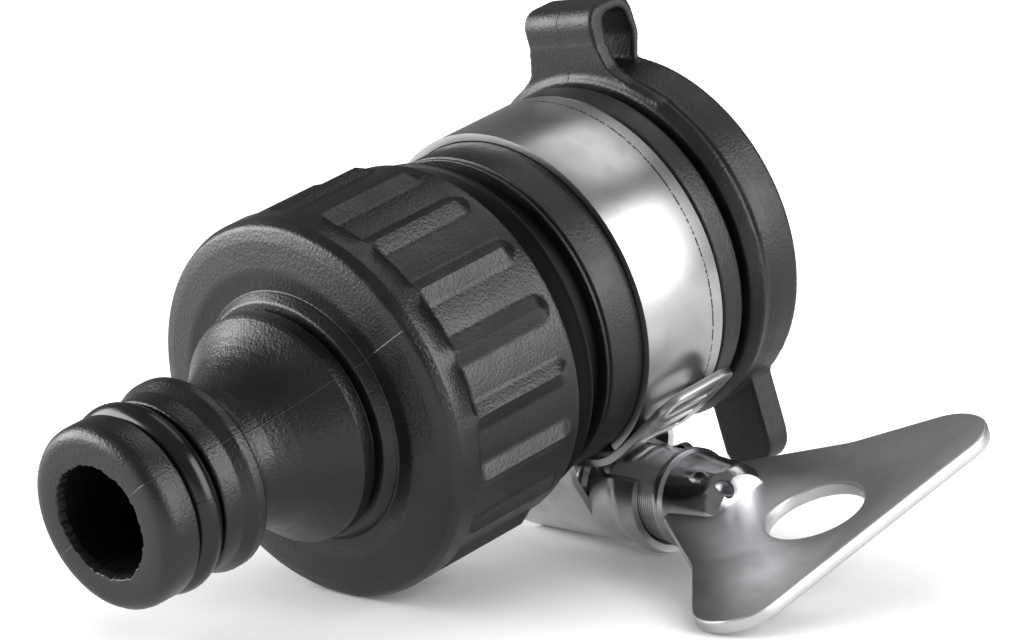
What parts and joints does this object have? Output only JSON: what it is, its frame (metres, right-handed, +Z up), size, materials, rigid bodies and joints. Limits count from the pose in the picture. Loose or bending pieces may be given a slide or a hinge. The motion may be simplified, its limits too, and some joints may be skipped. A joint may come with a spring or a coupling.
{
  "type": "tap adapter",
  "caption": "Rubber sleeve adapter with a winged band clamp for a plain tap, a ribbed union collar and a push-fit hose nipple.",
  "frame": {"origin": "on the floor plane, under the middle of the bounding box of the adapter at rest", "axes": "+Z up at rest; +X from the nipple's nose to the sleeve's mouth, level; +Y the remaining side, away from the wing plate"},
  "size_m": [0.0686, 0.0524, 0.0448],
  "materials": {
    "connector_plastic": "fine texture",
    "insert_plastic": "fine texture",
    "seal_rubber": "smooth, slightly glossy",
    "sleeve_rubber": "matte",
    "band_steel": "polished strip",
    "clamp_steel": "zinc plated, bright",
    "wing_steel": "satin, zinc plated"
  },
  "bodies": {
    "sleeve_side": {"threaded_insert": "insert_plastic", "rubber_sleeve": "sleeve_rubber", "clamp_band": "band_steel", "screw_housing": "clamp_steel"},
    "seal": {"flat_seal": "seal_rubber"},
    "connector": {"connector_body": "connector_plastic", "nose_o_ring": "seal_rubber"},
    "wing_screw": {"worm_screw": "clamp_steel", "wing_plate": "wing_steel"}
  },
  "joints": [
    {"name": "union_slide", "type": "slide", "parent": "sleeve_side", "child": "seal", "axis": [-0.9748, 0, -0.2231], "range_m": [0, 0.009]},
    {"name": "union_turn", "type": "hinge", "parent": "seal", "child": "connector", "pos_m": [-0.00358, 0.01026, 0.017], "axis": [-0.9748, 0, -0.2231], "range_deg": [0, 1785]},
    {"name": "screw_turn", "type": "hinge", "parent": "sleeve_side", "child": "wing_screw", "pos_m": [0.02107, 0.00894, 0.0048], "axis": [-0.1178, -0.9918, 0.05], "continuous": true}
  ],
  "couplings": [
    {"joint": "union_slide", "follows": "union_turn", "m_per_rad": 0.00028871}
  ]
}
